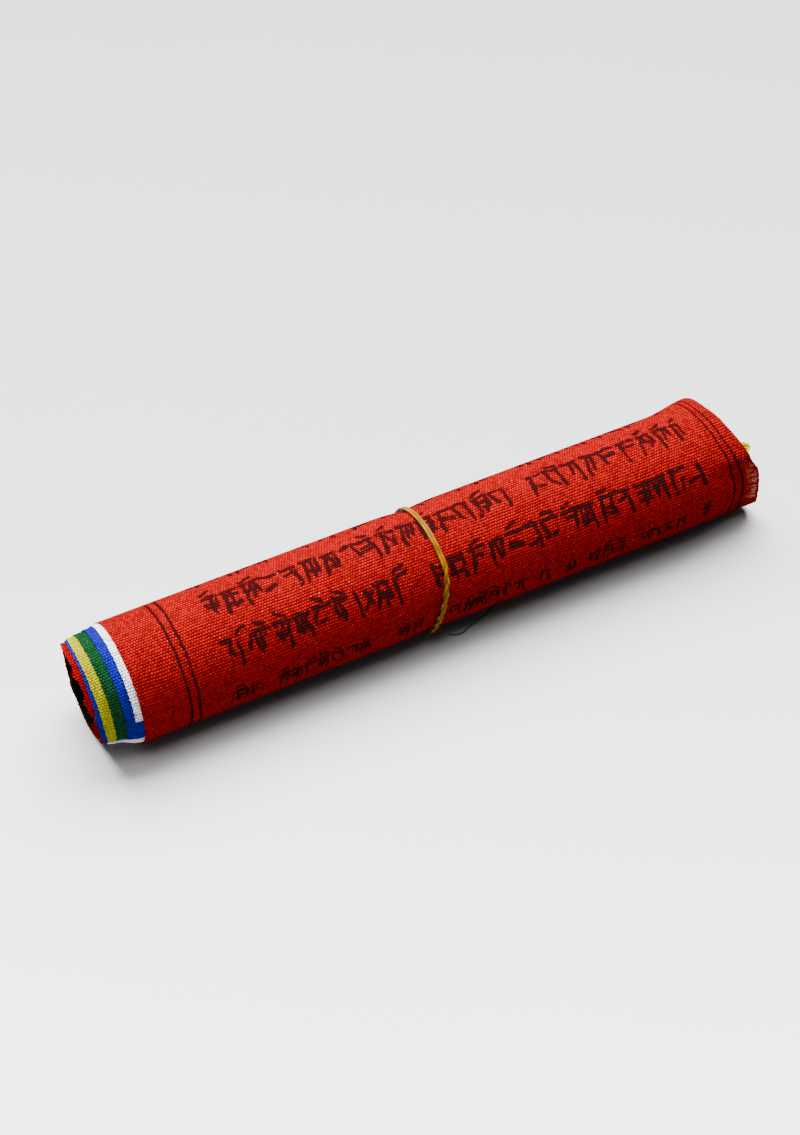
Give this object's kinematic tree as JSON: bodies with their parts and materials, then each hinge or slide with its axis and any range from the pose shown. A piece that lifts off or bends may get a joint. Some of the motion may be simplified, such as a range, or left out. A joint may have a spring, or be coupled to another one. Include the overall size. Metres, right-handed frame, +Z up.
{
  "type": "roll of prayer flags",
  "caption": "Printed cotton flags wound into a slim hollow roll, slid out like a stair at one end and held round the middle by a doubled, twisted rubber band",
  "frame": {"origin": "Bottom centre of the roll's box, on the surface it lies on, without the loose thread", "axes": "+X runs along the roll, from the end where the layers slide out towards the end where the red flag overhangs; +Z is up; -Y is the front, where the loose thread lies"},
  "size_m": [0.243, 0.044, 0.0397],
  "materials": {
    "red_cotton": "coarse plain-weave red cotton with dark printing",
    "stacked_cotton": "plain-weave cotton in white, blue, green, yellow and red layers",
    "yellow_cotton": "plain-weave yellow cotton",
    "golden_rubber": "smooth golden rubber",
    "green_thread": "matte dark green sewing thread"
  },
  "bodies": {
    "root": {"outer_flag_red": "red_cotton", "wound_flags": "stacked_cotton", "yellow_flag_corner": "yellow_cotton", "rubber_band": "golden_rubber", "loose_thread": "green_thread"}
  },
  "joints": []
}
